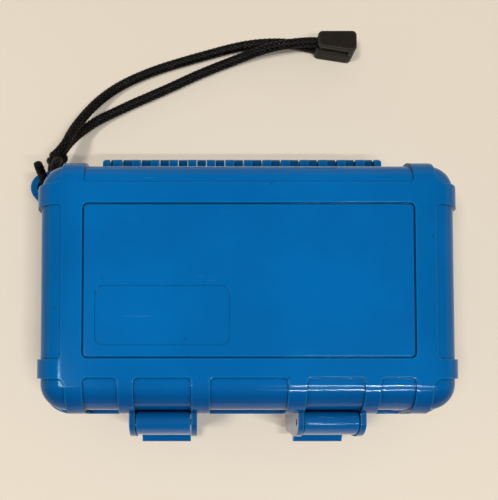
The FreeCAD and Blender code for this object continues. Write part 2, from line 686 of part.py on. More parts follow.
def cord_end_halves():
    """Lower and upper half of the cord end, with a groove in the upper half that stops before the far end."""
    upper_z = CORD_END_LOWER_HEIGHT + CORD_END_SPLIT
    lip_z = upper_z + CORD_END_GROOVE_HEIGHT
    top = upper_z + CORD_END_UPPER_HEIGHT
    lower = cord_end_block(0, 0, CORD_END_LOWER_HEIGHT)
    for z in (0, CORD_END_LOWER_HEIGHT):
        lower = round_end(lower, z, CORD_END_EDGE_ROUND)
    upper = round_end(cord_end_block(0, upper_z, top), top, CORD_END_EDGE_ROUND)
    reach = CORD_END_LENGTH - CORD_END_GROOVE_STOP
    groove = Part.makeBox(
        reach + CORD_END_CORNER, 2 * CORD_END_FAR_WIDTH, CORD_END_GROOVE_HEIGHT,
        V(-CORD_END_CORNER, -2 * CORD_END_FAR_WIDTH, upper_z))
    upper = upper.cut(groove.cut(cord_end_block(CORD_END_GROOVE_DEPTH, upper_z, lip_z)))
    halves = []
    for half in (lower, upper):
        half.translate(V(*CORD_END_PLACE))
        halves.append(half.cut([strand_seat(UPPER_ROUTE), strand_seat(LOWER_ROUTE)]))
    return halves


def save(name, shape):
    shape = shape.removeSplitter()
    print(name, "solids", len(shape.Solids), "valid", shape.isValid(), "volume", round(shape.Volume, 1))
    shape.exportStep("parts/" + name + ".step")


def main():
    os.makedirs("parts", exist_ok=True)
    save("base_shell", base_shell())
    save("lid_shell", lid_shell())
    save("lid_seal", lid_seal())
    save("hinge_pin", hinge_pin())
    for side, centre in (("left", -LATCH_X), ("right", LATCH_X)):
        save("latch_" + side, latch(centre))
        save("latch_pin_" + side, latch_pin(centre))
    save("base_foam", base_foam())
    save("lid_foam", lid_foam())
    upper = cord("lanyard_strand_upper", UPPER_ROUTE)
    lower = cord("lanyard_strand_lower", LOWER_ROUTE)
    loop = cord("lanyard_loop", LOOP_ROUTE)
    tail = cord("lanyard_tail", TAIL_ROUTE, TAIL_RADIUS)
    save("lanyard_strand_upper", upper)
    save("lanyard_strand_lower", lower)
    save("lanyard_loop", loop)
    save("lanyard_tail", tail)
    save("lanyard_knot", knot().cut([upper, lower, loop, tail]))
    end_lower, end_upper = cord_end_halves()
    save("cord_end_lower", end_lower)
    save("cord_end_upper", end_upper)


main()
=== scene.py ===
import math

import bmesh
import bpy
from mathutils import Matrix, Vector


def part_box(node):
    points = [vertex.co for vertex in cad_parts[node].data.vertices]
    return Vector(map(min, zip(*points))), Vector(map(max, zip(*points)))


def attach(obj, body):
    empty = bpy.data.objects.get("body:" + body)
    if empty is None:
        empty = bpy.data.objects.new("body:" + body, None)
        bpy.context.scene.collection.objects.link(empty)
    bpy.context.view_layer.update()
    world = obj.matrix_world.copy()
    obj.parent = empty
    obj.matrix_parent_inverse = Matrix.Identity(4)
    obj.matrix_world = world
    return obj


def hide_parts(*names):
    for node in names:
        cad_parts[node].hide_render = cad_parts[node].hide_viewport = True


# Small hard carrying case with a cord lanyard, dressed for a studio picture. Lengths are in metres,
# and the size of a pattern is given as its repeats to the metre.

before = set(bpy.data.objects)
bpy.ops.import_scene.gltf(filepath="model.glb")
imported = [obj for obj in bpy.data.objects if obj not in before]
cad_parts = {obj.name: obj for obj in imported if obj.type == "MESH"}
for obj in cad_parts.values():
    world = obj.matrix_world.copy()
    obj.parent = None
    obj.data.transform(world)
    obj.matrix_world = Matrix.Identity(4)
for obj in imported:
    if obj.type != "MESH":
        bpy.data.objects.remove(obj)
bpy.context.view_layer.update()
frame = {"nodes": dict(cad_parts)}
nodes = frame["nodes"]

# Camera of the photograph: tilt in degrees, lens in millimetres
CAMERA_PLACE = (-0.01803, -0.02894, 0.2572)
CAMERA_TILT = 1.98
CAMERA_LENS = 43.63
CAMERA_SHIFT = (0.104, 0.194)
CAMERA_CLIP = (0.01, 20.0)

# Table, and the distances between which it passes into the backdrop's colour
BACKDROP = (0.76, 0.68, 0.57, 1.0)
TABLE_REACH = 2.0
TABLE_SQUARES = 8
TABLE_FADE = (0.22, 0.85)

# Room light: its strength low down, and what the ceiling, the zenith and the front change,
# each over a range of directions
ROOM_COLOUR = (1.0, 0.965, 0.91, 1.0)
ROOM_STRENGTH = 0.80
CEILING_RANGE = (0.25, 0.50)
CEILING_LOSS = 0.60
ZENITH_RANGE = (0.60, 0.95)
ZENITH_GAIN = 0.04
ROOM_FRONT_RANGE = (-0.10, -0.55)
ROOM_FRONT_SHARE = 0.30

# Lamps: a soft one on the left, and two strips overhead that draw streaks on the case's front
LEFT_LAMP_PLACE = (-0.55, -0.16, 1.50)
LEFT_LAMP_SIZE = (0.28, 0.28)
LEFT_LAMP_POWER = 9.8
LEFT_LAMP_COLOUR = (1.0, 0.95, 0.88)
STRIP_MIDDLE = (0.58, -0.575, 2.0)
STRIP_OFFSET = 0.24
STRIP_SIZE = (0.50, 0.03)
STRIP_POWER = 11.5

# Cord: one 4 mm braided cord, whose free stretches follow these control points
CORD_RADIUS = 0.0020
TAIL_RADIUS = 0.0018
BRAID_DEPTH = 0.00024
BRAID_ROW = 0.00100
BRAID_YARNS = 8
CORD_SIDES = 32
RING_STEP = 0.00017
UPPER_ROUTE = [
    (-0.0748, 0.0562, 0.0170), (-0.0722, 0.0592, 0.0164), (-0.0705, 0.0628, 0.0150),
    (-0.0692, 0.0674, 0.0127), (-0.0664, 0.0730, 0.0102), (-0.0623, 0.0800, 0.0068),
    (-0.0571, 0.0863, 0.0040), (-0.0505, 0.0915, 0.0026), (-0.0424, 0.0957, 0.0021),
    (-0.0330, 0.0993, 0.0021), (-0.0225, 0.1025, 0.0021), (-0.0133, 0.1051, 0.0021),
    (-0.0047, 0.1075, 0.0021), (0.0030, 0.1092, 0.0021), (0.0107, 0.1101, 0.0021),
    (0.0184, 0.1102, 0.0021), (0.0253, 0.1094, 0.00215), (0.0304, 0.1082, 0.0023),
    (0.0350, 0.1073, 0.00245),
]
LOWER_ROUTE = [
    (-0.0740, 0.0580, 0.0120), (-0.0723, 0.0618, 0.0110), (-0.0692, 0.0666, 0.0086),
    (-0.0652, 0.0713, 0.0060), (-0.0600, 0.0759, 0.0039), (-0.0538, 0.0795, 0.0026),
    (-0.0462, 0.0834, 0.0021), (-0.0373, 0.0873, 0.0021), (-0.0287, 0.0911, 0.0021),
    (-0.0193, 0.0956, 0.0021), (-0.0108, 0.0992, 0.0021), (-0.0030, 0.1022, 0.00215),
    (0.0029, 0.1041, 0.0030), (0.0078, 0.1052, 0.0047), (0.0128, 0.1062, 0.0059),
    (0.0186, 0.1073, 0.0063), (0.0253, 0.1081, 0.0064), (0.0304, 0.1082, 0.0067),
    (0.0350, 0.1078, 0.00705),
]
LOOP_ROUTE = [
    (-0.0734, 0.0534, 0.0116), (-0.0732, 0.0496, 0.0104), (-0.0732, 0.0459, 0.0112),
    (-0.0734, 0.0433, 0.0139), (-0.0735, 0.0429, 0.0176), (-0.0734, 0.0432, 0.0213),
    (-0.0733, 0.0458, 0.0239), (-0.0731, 0.0495, 0.0241), (-0.0731, 0.0522, 0.0216),
    (-0.0734, 0.0534, 0.0182),
]
TAIL_ROUTE = [
    (-0.0764, 0.0540, 0.0144), (-0.0775, 0.0506, 0.0122), (-0.0779, 0.0464, 0.0112),
    (-0.0779, 0.0426, 0.0138), (-0.0777, 0.0419, 0.0188), (-0.0774, 0.0434, 0.0233),
    (-0.0776, 0.0457, 0.0272), (-0.0780, 0.0479, 0.0314),
]
UPPER_LENGTH = 0.1344
LOWER_LENGTH = 0.1265
LOOP_LENGTH = 0.0328
TAIL_LENGTH = 0.0316

# Turns of the cord that tie both strands together: their axis in degrees from +Y, their count and reach
KNOT_TURN = 26.0
KNOT_TURNS = 2
KNOT_POINTS = 12
KNOT_TRAVEL = 0.0050
KNOT_SIDE = 0.0020
KNOT_RISE = 0.0033
KNOT_CORD_RADIUS = 0.0017
KNOT_CORD_LENGTH = 0.040

# Foam in the base and the lid: roundings, each with its number of facets, and the well
FOAM_CORNER = 0.0061
CORNER_FACETS = 8
FOAM_FAR_EDGE = 0.0040
FAR_EDGE_FACETS = 6
FOAM_CUT_EDGE = 0.0010
CUT_EDGE_FACETS = 3
WELL_HALF = (0.0560, 0.0250)
WELL_CORNER = 0.0080
WELL_FLOOR = 0.01085
SAME_HEIGHT = 1e-6

# Rays that feel for creases and edges
EDGE_RAYS = 8


class Socket:
    """An output of a node that takes part in Python arithmetic."""

    def __init__(self, nodes, output):
        self.nodes = nodes
        self.output = output

    def math(self, operation, first, second):
        return self.nodes.node("ShaderNodeMath", {"operation": operation}, {0: first, 1: second})

    def __add__(self, other):
        return self.math("ADD", self, other)

    __radd__ = __add__

    def __sub__(self, other):
        return self.math("SUBTRACT", self, other)

    def __rsub__(self, other):
        return self.math("SUBTRACT", other, self)

    def __mul__(self, other):
        return self.math("MULTIPLY", self, other)

    __rmul__ = __mul__

    def __abs__(self):
        return self.math("ABSOLUTE", self, 0.0)

    def sine(self):
        return self.math("SINE", self, 0.0)

    def swing(self, amount):
        """A pattern from 0 to 1, centred on 0 and times the amount."""
        return (self - 0.5) * amount

    def ramp(self, low, high, start=0.0, end=1.0):
        """Smooth step from start at low to end at high."""
        return self.nodes.node(
            "ShaderNodeMapRange", {"interpolation_type": "SMOOTHSTEP"},
            {"Value": self, "From Min": low, "From Max": high, "To Min": start, "To Max": end})


class Nodes:
    """A node tree and the one method that makes its nodes."""

    def __init__(self, tree):
        self.tree = tree

    def node(self, kind, settings=None, inputs=None, output=0):
        made = self.tree.nodes.new(kind)
        for key, value in (settings or {}).items():
            setattr(made, key, value)
        for key, value in (inputs or {}).items():
            self.feed(made.inputs[key], value)
        return Socket(self, made.outputs[output])

    def feed(self, socket, value):
        if isinstance(value, Socket):
            self.tree.links.new(value.output, socket)
        else:
            socket.default_value = value

    def place(self):
        return self.node("ShaderNodeTexCoord", output="Object")

    def turned(self, scale, turn=(0.0, 0.0, 0.0)):
        """Object coordinates, scaled and turned; the turn is in radians."""
        return self.node(
            "ShaderNodeMapping", inputs={"Vector": self.place(), "Scale": scale, "Rotation": turn})

    def axes(self, vector=None):
        split = self.node("ShaderNodeSeparateXYZ", inputs={0: vector or self.place()})
        outputs = split.output.node.outputs
        return [Socket(self, outputs[axis]) for axis in "XYZ"]

    def noise(self, scale, detail, vector=None):
        return self.node(
            "ShaderNodeTexNoise",
            inputs={"Vector": vector or self.place(), "Scale": scale, "Detail": detail}, output="Fac")

    def cells(self, scale):
        return self.node(
            "ShaderNodeTexVoronoi", inputs={"Vector": self.place(), "Scale": scale}, output="Distance")

    def mix(self, factor, first, second):
        return self.node(
            "ShaderNodeMix", {"data_type": "RGBA"}, {0: factor, 6: first, 7: second}, output=2)

    def bump(self, height, distance, normal=None):
        inputs = {"Strength": 1.0, "Distance": distance, "Height": height}
        if normal is not None:
            inputs["Normal"] = normal
        return self.node("ShaderNodeBump", inputs=inputs)

    def soft_edges(self, radius):
        return self.node("ShaderNodeBevel", {"samples": EDGE_RAYS}, {"Radius": radius})

    def openness(self, reach, inside=False):
        """1 on open faces, less in creases, or with inside less along outer edges."""
        return self.node(
            "ShaderNodeAmbientOcclusion", {"samples": EDGE_RAYS, "only_local": True, "inside": inside},
            {"Distance": reach}, output="AO")


class Finish(Nodes):
    """A material, its constants set on the shader."""

    def __init__(self, name, **constants):
        self.material = bpy.data.materials.new(name)
        self.material.use_nodes = True
        super().__init__(self.material.node_tree)
        self.shader = self.tree.nodes["Principled BSDF"]
        self.set(**constants)

    def set(self, **values):
        for socket, value in values.items():
            self.feed(self.shader.inputs[socket.replace("_", " ")], value)


# Zones of the blue moulding: the lid's flat top and its panel, the front, the sides and the hinge,
# and the widths over which they end
LID_FLAT = 0.0472
LID_FEATHER = 0.0012
PANEL_CENTRE_Y = 0.00155
PANEL_HALF = (0.0580, 0.02715)
FRONT_ZONE = (-0.0325, -0.0405)
SIDE_ZONE = (0.0540, 0.0720)
HINGE_MIDDLE = -0.0010
HINGE_HALF = 0.0530
HINGE_FRONT = 0.0446
HINGE_TOP = 0.0300
END_FEATHER = 0.0003
HINGE_FEATHER = 0.0004

# Blue moulding: its own tones, then the tones laid over them, which are painted shade, a painted
# highlight, scuffs and specks
SHELL_FACE = (0.0006, 0.146, 0.460, 1.0)
SHELL_DEEP = (0.0005, 0.124, 0.395, 1.0)
LATCH_FACE = (0.0006, 0.150, 0.470, 1.0)
LATCH_DEEP = (0.0005, 0.128, 0.405, 1.0)
# Painted shade on the roundings, the sides and the hinge
ROUNDING_SHADE_TONE = (0.0003, 0.058, 0.165, 1.0)
# Painted shade on the front
FRONT_SHADE_TONE = (0.0002, 0.026, 0.135, 1.0)
SCUFF_TONE = (0.05, 0.22, 0.50, 1.0)
SPECK_TONE = (0.004, 0.05, 0.13, 1.0)
# Painted highlight along outer edges
EDGE_HIGHLIGHT_TONE = (0.006, 0.28, 0.62, 1.0)
# Painted shade in creases
CREASE_SHADE_TONE = (0.0002, 0.029, 0.104, 1.0)
# Painted shade low in the hinge, between the lid's knuckles
HINGE_GAP_SHADE_TONE = (0.0002, 0.028, 0.070, 1.0)

# Blue moulding: how much of those tones shows
GRAIN_SHARE = 0.5
GRAIN_SHARE_MIDDLE = 0.1
ROUNDING_SHADE_SHARE = 0.24
SIDE_SHADE_SHARE = 0.30
HINGE_SHADE_SHARE = 0.34
SHELL_FRONT_SHADE_SHARE = 0.46
LATCH_FRONT_SHADE_SHARE = 0.22
SCUFF_SHARE = 0.4
SPECK_SHARE = 0.55
EDGE_HIGHLIGHT_SHARE = 0.24
CREASE_SHADE_SHARE = 0.76
HINGE_GAP_SHADE_SHARE = 0.50

# Blue moulding: patterns, and the values between which each starts to show
TONE_SCALE = 26.0
TONE_RANGE = (0.3, 0.7)
GRAIN_SCALE = 2300.0
RIPPLE_SCALE = 700.0
SCUFF_SCALE = (60.0, 1700.0, 60.0)
SCUFF_TURN = (0.0, 0.0, 0.6)
SCUFF_RANGE = (0.70, 0.75)
SCUFF_PATCH_SCALE = 45.0
SCUFF_PATCH_RANGE = (0.56, 0.68)
SPECK_SCALE = 190.0
SPECK_RANGE = (0.11, 0.07)
SPECK_PATCH_RANGE = (0.60, 0.64)
CREASE_SHADE_REACH = 0.0026
CREASE_SHADE_RANGE = (0.97, 0.66)
EDGE_HIGHLIGHT_REACH = 0.0008
EDGE_HIGHLIGHT_RANGE = (0.97, 0.65)

# Blue moulding: gloss and relief
MOULD_IOR = 1.5
MOULD_SPECULAR = 0.13
MOULD_SPECULAR_TINT = (0.4, 0.80, 1.0, 1.0)
STREAK_COAT = 0.45
STREAK_ROUGHNESS = 0.05
GLOSSY = 0.06
SHELL_MATT = 0.13
LATCH_MATT = 0.10
FLAT_MATT_SHARE = 0.6
PANEL_MATT_SHARE = 0.4
GRAIN_ROUGHNESS = 0.10
SCUFF_ROUGHNESS = 0.15
RIPPLE_HEIGHT = 0.5
GRAIN_HEIGHT = 0.10
PANEL_GRAIN_HEIGHT = 0.15
MOULD_RELIEF = 0.00002
MOULD_EDGE_RADIUS = 0.0007


def blue_moulding(name, face, deep, matt, front_shade_share):
    """Hard blue moulding: finely matt flats, glossy roundings, painted shade on roundings, sides, front,
    hinge and creases, a painted highlight along outer edges, scuffs and specks.
    """
    finish = Finish(
        name, IOR=MOULD_IOR, Specular_IOR_Level=MOULD_SPECULAR, Specular_Tint=MOULD_SPECULAR_TINT,
        Coat_Roughness=STREAK_ROUGHNESS)
    x, y, z = finish.axes()
    flat = z.ramp(LID_FLAT - LID_FEATHER, LID_FLAT)
    panel = abs(x).ramp(PANEL_HALF[0], PANEL_HALF[0] - END_FEATHER)
    panel = panel * abs(y - PANEL_CENTRE_Y).ramp(PANEL_HALF[1], PANEL_HALF[1] - END_FEATHER) * flat
    front = y.ramp(*FRONT_ZONE)
    side = abs(x).ramp(*SIDE_ZONE)
    hinge = abs(x - HINGE_MIDDLE).ramp(HINGE_HALF + END_FEATHER, HINGE_HALF)
    hinge = hinge * y.ramp(HINGE_FRONT, HINGE_FRONT + HINGE_FEATHER)
    # Mask for painted shade low in the hinge, between the lid's knuckles
    hinge_gap_shade = hinge * z.ramp(HINGE_TOP, HINGE_TOP - HINGE_FEATHER)

    tone = finish.noise(TONE_SCALE, detail=3.0)
    grain = finish.noise(GRAIN_SCALE, detail=2.0)
    ripple = finish.noise(RIPPLE_SCALE, detail=2.0)
    scuff = finish.noise(1.0, detail=1.0, vector=finish.turned(SCUFF_SCALE, SCUFF_TURN))
    scuff = scuff.ramp(*SCUFF_RANGE)
    scuff = scuff * finish.noise(SCUFF_PATCH_SCALE, detail=1.0).ramp(*SCUFF_PATCH_RANGE)
    speck = finish.cells(SPECK_SCALE).ramp(*SPECK_RANGE)
    speck = speck * finish.noise(SPECK_SCALE, detail=0.0).ramp(*SPECK_PATCH_RANGE)
    # Painted shade in creases, where little light reaches
    crease_shade = finish.openness(CREASE_SHADE_REACH).ramp(*CREASE_SHADE_RANGE)
    # Painted highlight along outer edges
    edge = finish.openness(EDGE_HIGHLIGHT_REACH, inside=True).ramp(*EDGE_HIGHLIGHT_RANGE)

    colour = finish.mix(tone.ramp(*TONE_RANGE), deep, face)
    colour = finish.mix(grain.swing(GRAIN_SHARE) + GRAIN_SHARE_MIDDLE, colour, deep)
    # Painted shade: darker on the roundings, the sides and the hinge
    zone_shade = (1.0 - flat) * ROUNDING_SHADE_SHARE + side * SIDE_SHADE_SHARE + hinge * HINGE_SHADE_SHARE
    colour = finish.mix(zone_shade, colour, ROUNDING_SHADE_TONE)
    # Painted shade: darker on the front
    colour = finish.mix(front * front_shade_share, colour, FRONT_SHADE_TONE)
    colour = finish.mix(scuff * SCUFF_SHARE, colour, SCUFF_TONE)
    colour = finish.mix(speck * SPECK_SHARE, colour, SPECK_TONE)
    # Painted highlight along outer edges, then painted shade in creases and low in the hinge
    colour = finish.mix(edge * EDGE_HIGHLIGHT_SHARE, colour, EDGE_HIGHLIGHT_TONE)
    colour = finish.mix(crease_shade * CREASE_SHADE_SHARE, colour, CREASE_SHADE_TONE)
    colour = finish.mix(hinge_gap_shade * HINGE_GAP_SHADE_SHARE, colour, HINGE_GAP_SHADE_TONE)

    matter = matt - GLOSSY
    roughness = GLOSSY + flat * matter * FLAT_MATT_SHARE + panel * matter * PANEL_MATT_SHARE
    roughness = roughness + grain.swing(GRAIN_ROUGHNESS) + scuff * SCUFF_ROUGHNESS
    height = ripple * (1.0 - panel) * RIPPLE_HEIGHT + grain * (GRAIN_HEIGHT + panel * PANEL_GRAIN_HEIGHT)
    finish.set(
        Base_Color=colour, Roughness=roughness, Coat_Weight=front * (1.0 - side) * STREAK_COAT,
        Normal=finish.bump(height, MOULD_RELIEF, finish.soft_edges(MOULD_EDGE_RADIUS)))
    return finish.material


# Braided cord: tones, among them painted shade in the gaps and painted glints on the yarn tops, where
# and how much they show, then gloss and relief
# Painted shade in the gaps between the yarns
BRAID_GAP_SHADE = (0.0006, 0.0005, 0.0004, 1.0)
BRAID_YARN = (0.034, 0.029, 0.025, 1.0)
BRAID_YARN_RISE = (0.62, 1.00)
BRAID_WORN = (0.050, 0.044, 0.038, 1.0)
BRAID_WORN_SCALE = 420.0
BRAID_WORN_RANGE = (0.50, 0.75)
BRAID_WORN_SHARE = 0.4
# Painted glints on the yarn tops
BRAID_GLINT = (0.170, 0.155, 0.145, 1.0)
BRAID_GLINT_SCALE = 1300.0
BRAID_GLINT_RANGE = (0.62, 0.70)
BRAID_GLINT_RISE = (0.72, 0.95)
BRAID_GLINT_SHARE = 0.7
BRAID_IOR = 1.45
BRAID_SPECULAR = 0.12
BRAID_ROUGHNESS = 0.50
FIBRE_SCALE = 7000.0
FIBRE_ROUGHNESS = 0.3
FIBRE_RELIEF = 0.00004


def braided_black(name):
    """Black polyester braid: painted shade in the gaps between the yarns, worn yarn tops and painted
    glints on them.
    """
    finish = Finish(name, IOR=BRAID_IOR, Specular_IOR_Level=BRAID_SPECULAR)
    relief = finish.node("ShaderNodeAttribute", {"attribute_name": "relief"}, output="Fac")
    fibres = finish.noise(FIBRE_SCALE, detail=2.0)
    wear_and_highlight = finish.noise(BRAID_WORN_SCALE, detail=2.0).ramp(*BRAID_WORN_RANGE) * relief
    # Painted glints on the yarn tops
    glint = finish.noise(BRAID_GLINT_SCALE, detail=0.0).ramp(*BRAID_GLINT_RANGE)
    glint = glint * relief.ramp(*BRAID_GLINT_RISE)
    # Painted shade in the gaps between the yarns, then wear, then painted glints on the yarn tops
    colour = finish.mix(relief.ramp(*BRAID_YARN_RISE), BRAID_GAP_SHADE, BRAID_YARN)
    colour = finish.mix(wear_and_highlight * BRAID_WORN_SHARE, colour, BRAID_WORN)
    colour = finish.mix(glint * BRAID_GLINT_SHARE, colour, BRAID_GLINT)
    finish.set(
        Base_Color=colour, Roughness=BRAID_ROUGHNESS + fibres.swing(FIBRE_ROUGHNESS),
        Normal=finish.bump(fibres, FIBRE_RELIEF))
    return finish.material


# Cord end: the turn of its fine lines in degrees and their spacing, tones with painted shade low down
# and a painted highlight along the edges, then gloss and relief
CORD_END_TURN = 4.6
CORD_END_LINE = 0.00055
CORD_END_GRAIN_SCALE = 2600.0
CORD_END_TONE_SCALE = 300.0
CORD_END_DARK = (0.0110, 0.0088, 0.0068, 1.0)
CORD_END_LIGHT = (0.0225, 0.0180, 0.0142, 1.0)
# Painted shade low down
CORD_END_LOW_SHADE = (0.0040, 0.0032, 0.0030, 1.0)
CORD_END_LOW_SHADE_RANGE = (0.0100, 0.0070)
CORD_END_LOW_SHADE_SHARE = 0.6
# Painted highlight along the outer edges
CORD_END_EDGE_HIGHLIGHT = (0.110, 0.100, 0.094, 1.0)
CORD_END_HIGHLIGHT_REACH = 0.0009
CORD_END_HIGHLIGHT_RANGE = (0.95, 0.60)
CORD_END_HIGHLIGHT_SHARE = 0.5
CORD_END_IOR = 1.48
CORD_END_SPECULAR = 0.13
CORD_END_ROUGHNESS = 0.34
CORD_END_GRAIN_ROUGHNESS = 0.2
CORD_END_RELIEF = 0.00003
CORD_END_EDGE_RADIUS = 0.0007


def satin_black(name):
    """Black moulded cord end with fine lines across it, painted shade low down and a painted highlight
    along its edges.
    """
    finish = Finish(name, IOR=CORD_END_IOR, Specular_IOR_Level=CORD_END_SPECULAR)
    along, _, z = finish.axes(finish.turned((1.0, 1.0, 1.0), (0.0, 0.0, math.radians(CORD_END_TURN))))
    lines = (along * (math.tau / CORD_END_LINE)).sine() * 0.5 + 0.5
    grain = finish.noise(CORD_END_GRAIN_SCALE, detail=3.0)
    tone = finish.noise(CORD_END_TONE_SCALE, detail=2.0)
    # Painted highlight along the outer edges
    wear_and_highlight = finish.openness(CORD_END_HIGHLIGHT_REACH, inside=True).ramp(*CORD_END_HIGHLIGHT_RANGE)
    colour = finish.mix(lines * 0.5 + tone * 0.5, CORD_END_DARK, CORD_END_LIGHT)
    # Painted shade low down, then a painted highlight along the outer edges
    colour = finish.mix(z.ramp(*CORD_END_LOW_SHADE_RANGE) * CORD_END_LOW_SHADE_SHARE, colour, CORD_END_LOW_SHADE)
    colour = finish.mix(wear_and_highlight * CORD_END_HIGHLIGHT_SHARE, colour, CORD_END_EDGE_HIGHLIGHT)
    height = lines * 0.5 + grain * 0.5
    finish.set(
        Base_Color=colour, Roughness=CORD_END_ROUGHNESS + grain.swing(CORD_END_GRAIN_ROUGHNESS),
        Normal=finish.bump(height, CORD_END_RELIEF, finish.soft_edges(CORD_END_EDGE_RADIUS)))
    return finish.material


# Rubber seal
SEAL_DARK = (0.012, 0.012, 0.012, 1.0)
SEAL_LIGHT = (0.028, 0.028, 0.028, 1.0)
SEAL_GRAIN_SCALE = 1800.0
SEAL_IOR = 1.5
SEAL_ROUGHNESS = 0.62
SEAL_GRAIN_ROUGHNESS = 0.2
SEAL_RELIEF = 0.00003
SEAL_EDGE_RADIUS = 0.0003


def seal_rubber(name):
    """Matt black rubber with a fine grain."""
    finish = Finish(name, IOR=SEAL_IOR)
    grain = finish.noise(SEAL_GRAIN_SCALE, detail=3.0)
    finish.set(
        Base_Color=finish.mix(grain, SEAL_DARK, SEAL_LIGHT),
        Roughness=SEAL_ROUGHNESS + grain.swing(SEAL_GRAIN_ROUGHNESS),
        Normal=finish.bump(grain, SEAL_RELIEF, finish.soft_edges(SEAL_EDGE_RADIUS)))
    return finish.material


# Steel pins
STEEL_DARK = (0.46, 0.46, 0.47, 1.0)
STEEL_LIGHT = (0.62, 0.62, 0.63, 1.0)
STEEL_LINE_SCALE = (6000.0, 300.0, 300.0)
STEEL_ROUGHNESS = 0.28
STEEL_LINE_ROUGHNESS = 0.2
STEEL_RELIEF = 0.00001
STEEL_EDGE_RADIUS = 0.0002


def ground_steel(name):
    """Steel pin with grinding lines round it."""
    finish = Finish(name, Metallic=1.0)
    lines = finish.noise(1.0, detail=3.0, vector=finish.turned(STEEL_LINE_SCALE))
    finish.set(
        Base_Color=finish.mix(lines, STEEL_DARK, STEEL_LIGHT),
        Roughness=STEEL_ROUGHNESS + lines.swing(STEEL_LINE_ROUGHNESS),
        Normal=finish.bump(lines, STEEL_RELIEF, finish.soft_edges(STEEL_EDGE_RADIUS)))
    return finish.material


# Open-cell foam
# Painted shade in the pits
FOAM_PIT_SHADE = (0.010, 0.010, 0.011, 1.0)
FOAM_FACE = (0.045, 0.045, 0.048, 1.0)
FOAM_PIT_SCALE = 1500.0
FOAM_PIT_SHADE_RANGE = (0.05, 0.5)
FOAM_PIT_HEIGHT = 0.6
FOAM_COARSE_SCALE = 700.0
FOAM_COARSE_HEIGHT = 0.4
FOAM_PALE = (0.06, 0.06, 0.064, 1.0)
FOAM_PALE_SCALE = 40.0
FOAM_PALE_RANGE = (0.4, 0.7)
FOAM_PALE_SHARE = 0.3
FOAM_IOR = 1.4
FOAM_SHEEN = 0.3
FOAM_SHEEN_ROUGHNESS = 0.5
FOAM_ROUGHNESS = 0.92
FOAM_COARSE_ROUGHNESS = 0.05
FOAM_RELIEF = 0.0004


def foam_cells(name):
    """Dark open-cell foam: pits of many sizes, with painted shade in them."""
    finish = Finish(
        name, IOR=FOAM_IOR, Sheen_Weight=FOAM_SHEEN, Sheen_Roughness=FOAM_SHEEN_ROUGHNESS)
    pits = finish.cells(FOAM_PIT_SCALE)
    coarse = finish.noise(FOAM_COARSE_SCALE, detail=3.0)
    pale = finish.noise(FOAM_PALE_SCALE, detail=2.0).ramp(*FOAM_PALE_RANGE)
    # Painted shade in the pits
    colour = finish.mix(pits.ramp(*FOAM_PIT_SHADE_RANGE), FOAM_PIT_SHADE, FOAM_FACE)
    colour = finish.mix(pale * FOAM_PALE_SHARE, colour, FOAM_PALE)
    height = pits * FOAM_PIT_HEIGHT + coarse * FOAM_COARSE_HEIGHT
    finish.set(
        Base_Color=colour, Roughness=FOAM_ROUGHNESS + coarse * FOAM_COARSE_ROUGHNESS,
        Normal=finish.bump(height, FOAM_RELIEF))
    return finish.material


# Table top
TABLE_DARK = (0.800, 0.717, 0.600, 1.0)
TABLE_LIGHT = (0.825, 0.742, 0.622, 1.0)
TABLE_TONE_SCALE = 3.0
TABLE_TONE_RANGE = (0.3, 0.7)
TABLE_GRAIN_SCALE = 900.0
TABLE_SPECULAR = 0.3
TABLE_ROUGHNESS = 0.62
TABLE_GRAIN_ROUGHNESS = 0.1


def pale_table(name):
    """Pale warm table top that passes into the backdrop's colour away from the case."""
    finish = Finish(name, Specular_IOR_Level=TABLE_SPECULAR)
    grain = finish.noise(TABLE_GRAIN_SCALE, detail=2.0)
    tone = finish.noise(TABLE_TONE_SCALE, detail=1.0)
    colour = finish.mix(tone.ramp(*TABLE_TONE_RANGE), TABLE_DARK, TABLE_LIGHT)
    finish.set(Base_Color=colour, Roughness=TABLE_ROUGHNESS + grain.swing(TABLE_GRAIN_ROUGHNESS))
    x, y, _ = finish.axes()
    far = (x * x + y * y).ramp(TABLE_FADE[0] ** 2, TABLE_FADE[1] ** 2)
    seen = finish.node("ShaderNodeLightPath", output="Is Camera Ray")
    backdrop = finish.node("ShaderNodeEmission", inputs={"Color": BACKDROP, "Strength": 1.0})
    lit = Socket(finish, finish.shader.outputs[0])
    surface = finish.node("ShaderNodeMixShader", inputs={0: far * seen, 1: lit, 2: backdrop})
    finish.feed(finish.tree.nodes["Material Output"].inputs["Surface"], surface)
    return finish.material


def paint(mesh, material):
    mesh.materials.clear()
    mesh.materials.append(material)


def dress(material, *names):
    """Gives the named solids their finish."""
    for name in names:
        paint(nodes[name].data, material)


def link(name, mesh, material):
    """A new smooth piece in the scene."""
    piece = bpy.data.objects.new(name, mesh)
    bpy.context.scene.collection.objects.link(piece)
    paint(mesh, material)
    for face in mesh.polygons:
        face.use_smooth = True
    return piece


def mesh_of(name, shape):
    """The bmesh as a mesh; the bmesh itself is freed."""
    mesh = bpy.data.meshes.new(name)
    shape.to_mesh(mesh)
    shape.free()
    return mesh


def route_curve(name, route, steps, radius=0.0):
    """NURBS curve with the route as its control points, and a round section of the given radius."""
    curve = bpy.data.curves.new(name, "CURVE")
    curve.dimensions = "3D"
    curve.resolution_u = steps
    curve.bevel_depth = radius
    curve.bevel_resolution = CORD_SIDES // 2 - 2 if radius else 0
    curve.use_fill_caps = radius > 0
    spline = curve.splines.new("NURBS")
    spline.points.add(len(route) - 1)
    for point, place in zip(spline.points, route):
        point.co = (*place, 1.0)
    spline.order_u = 3
    spline.use_endpoint_u = True
    return bpy.data.objects.new(name, curve)


